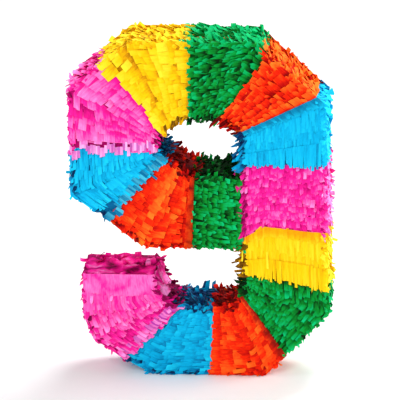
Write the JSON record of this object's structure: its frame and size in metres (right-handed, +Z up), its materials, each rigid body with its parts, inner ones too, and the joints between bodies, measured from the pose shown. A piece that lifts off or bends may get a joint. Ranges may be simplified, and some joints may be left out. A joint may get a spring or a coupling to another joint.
{
  "type": "pinata",
  "caption": "Hollow cardboard number nine with chamfered corners, covered in bands of fringed tissue paper, with a filling hatch in its back and hanging eyelets in its crown.",
  "frame": {"origin": "middle of the base that the nine stands on, half way through its depth", "axes": "+Z up the nine, -Y out of its front face, +X towards the side with the stem"},
  "size_m": [0.386, 0.0887, 0.527],
  "materials": {
    "pink_tissue": "matte tissue paper",
    "blue_tissue": "matte tissue paper",
    "orange_tissue": "matte tissue paper",
    "green_tissue": "matte tissue paper",
    "yellow_tissue": "matte tissue paper",
    "cardboard": "matte kraft board",
    "gummed_tape": "satin gummed paper",
    "brass": "polished",
    "ribbon": "satin ribbon"
  },
  "bodies": {
    "nine": {"back_edge_tape": "gummed_tape", "back_hole_tape": "gummed_tape", "back_panel": "cardboard", "band_01_pink_back": "pink_tissue", "band_01_pink_front": "pink_tissue", "band_01_pink_side": "pink_tissue", "band_02_blue_back": "blue_tissue", "band_02_blue_front": "blue_tissue", "band_02_blue_side": "blue_tissue", "band_03_orange_back": "orange_tissue", "band_03_orange_front": "orange_tissue", "band_03_orange_side": "orange_tissue", "band_04_green_back": "green_tissue", "band_04_green_front": "green_tissue", "band_04_green_side": "green_tissue", "band_05_yellow_back": "yellow_tissue", "band_05_yellow_front": "yellow_tissue", "band_05_yellow_side": "yellow_tissue", "band_06_pink_back": "pink_tissue", "band_06_pink_front": "pink_tissue", "band_06_pink_side": "pink_tissue", "band_07_blue_back": "blue_tissue", "band_07_blue_front": "blue_tissue", "band_07_blue_side": "blue_tissue", "band_08_orange_back": "orange_tissue", "band_08_orange_front": "orange_tissue", "band_08_orange_side": "orange_tissue", "band_09_green_back": "green_tissue", "band_09_green_front": "green_tissue", "band_09_green_side": "green_tissue", "band_10_yellow_back": "yellow_tissue", "band_10_yellow_front": "yellow_tissue", "band_10_yellow_side": "yellow_tissue", "band_11_pink_back": "pink_tissue", "band_11_pink_front": "pink_tissue", "band_11_pink_side": "pink_tissue", "band_12_blue_back": "blue_tissue", "band_12_blue_front": "blue_tissue", "band_12_blue_side": "blue_tissue", "band_13_orange_back": "orange_tissue", "band_13_orange_front": "orange_tissue", "band_13_orange_side": "orange_tissue", "band_14_green_back": "green_tissue", "band_14_green_front": "green_tissue", "band_14_green_side": "green_tissue", "crown_wall": "cardboard", "eyelet_left": "brass", "eyelet_right": "brass", "foot_wall": "cardboard", "front_edge_tape": "gummed_tape", "front_hole_tape": "gummed_tape", "front_panel": "cardboard", "hanger_plate": "cardboard", "hatch_stop_frame": "cardboard", "hole_wall": "cardboard", "mouth_wall": "cardboard", "spine_wall": "cardboard"},
    "hatch": {"hatch_flap": "cardboard", "hatch_flap_fringe": "pink_tissue", "hatch_pull_ribbon": "ribbon"}
  },
  "joints": [
    {"name": "hatch_fold", "type": "hinge", "parent": "nine", "child": "hatch", "pos_m": [0.1285, 0.0375, 0.3205], "axis": [1, 0, 0], "range_deg": [0, 100]}
  ]
}
